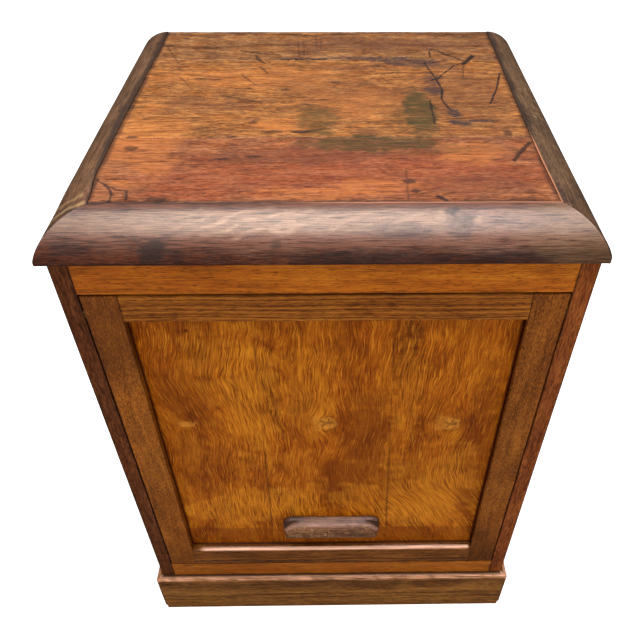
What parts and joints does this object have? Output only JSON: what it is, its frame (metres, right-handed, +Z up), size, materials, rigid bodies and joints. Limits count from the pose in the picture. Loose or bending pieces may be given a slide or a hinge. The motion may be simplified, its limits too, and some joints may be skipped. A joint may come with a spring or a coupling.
{
  "type": "lift-front pedestal cabinet",
  "caption": "Free-standing wooden pedestal cabinet with a bullnose-bordered top, a plinth, and a framed and panelled front door that lifts up and out by a half-moon finger pull.",
  "frame": {"origin": "centre of the footprint, on the floor, under the centre of the object's bounding box", "axes": "+Z up, -Y out of the door, +X to the right of someone who faces the door"},
  "size_m": [0.436, 0.395, 0.5895],
  "materials": {
    "carcass_wood": "side frames: aged brown hardwood, waxed, satin",
    "stile_wood": "front edges of the sides: red-brown hardwood, darker on the left, worn arrises",
    "rail_wood": "golden orange-brown hardwood with fine straight grain, satin",
    "top_boards": "orange-red hardwood with dark streaks, cracks, scratches and greenish black stains, satin",
    "border_wood": "dark purple-brown hardwood with a soft pale sheen, greener at the sides",
    "plinth_wood": "mid brown hardwood with a paler worn top edge, satin",
    "door_frame_wood": "mid brown hardwood with dark straight grain lines",
    "door_panel_wood": "golden amber hardwood with mottled figure, knots and darker patches",
    "pull_wood": "dark grey-brown hardwood, speckled by wear",
    "back_wood": "unpolished brown boards, matt",
    "inner_wood": "unfinished pale wood, matt",
    "iron": "old iron screws, nails and pins, dull with spots of rust",
    "brass": "tarnished brass bushes"
  },
  "bodies": {
    "cabinet": {"side_front_stile_left": "stile_wood", "side_rear_stile_left": "carcass_wood", "side_top_rail_left": "carcass_wood", "side_bottom_rail_left": "carcass_wood", "side_panel_left": "carcass_wood", "side_front_stile_right": "stile_wood", "side_rear_stile_right": "carcass_wood", "side_top_rail_right": "carcass_wood", "side_bottom_rail_right": "carcass_wood", "side_panel_right": "carcass_wood", "front_top_rail": "rail_wood", "front_bottom_rail": "rail_wood", "back_top_rail": "back_wood", "back_bottom_rail": "back_wood", "back_board_left": "back_wood", "back_board_middle": "back_wood", "back_board_right": "back_wood", "back_nails": "iron", "bottom_board_front": "inner_wood", "bottom_board_back": "inner_wood", "bottom_nails": "iron", "bearer_left": "inner_wood", "bearer_right": "inner_wood", "bearer_screws": "iron", "door_stop_left": "inner_wood", "door_stop_right": "inner_wood", "pivot_bush_left": "brass", "pivot_bush_right": "brass", "top_board_front": "top_boards", "top_board_middle": "top_boards", "top_board_back": "top_boards", "border_front": "border_wood", "border_left": "border_wood", "border_right": "border_wood", "top_batten_left": "inner_wood", "top_batten_right": "inner_wood", "top_back_strip": "back_wood", "batten_screws": "iron", "top_screws": "iron", "plinth_front": "plinth_wood", "plinth_left": "plinth_wood", "plinth_right": "plinth_wood", "plinth_back": "plinth_wood", "plinth_blocks": "inner_wood", "plinth_screws": "iron"},
    "door": {"door_stile_left": "door_frame_wood", "door_stile_right": "door_frame_wood", "door_top_rail": "door_frame_wood", "door_bottom_rail": "door_frame_wood", "door_board_left": "door_panel_wood", "door_board_middle": "door_panel_wood", "door_board_right": "door_panel_wood", "door_pull": "pull_wood", "pull_screws": "iron", "pivot_pin_left": "iron", "pivot_pin_right": "iron"}
  },
  "joints": [
    {"name": "door_lift", "type": "hinge", "parent": "cabinet", "child": "door", "pos_m": [0, -0.1815, 0.5037], "axis": [-1, 0, 0], "range_deg": [0, 130]}
  ]
}
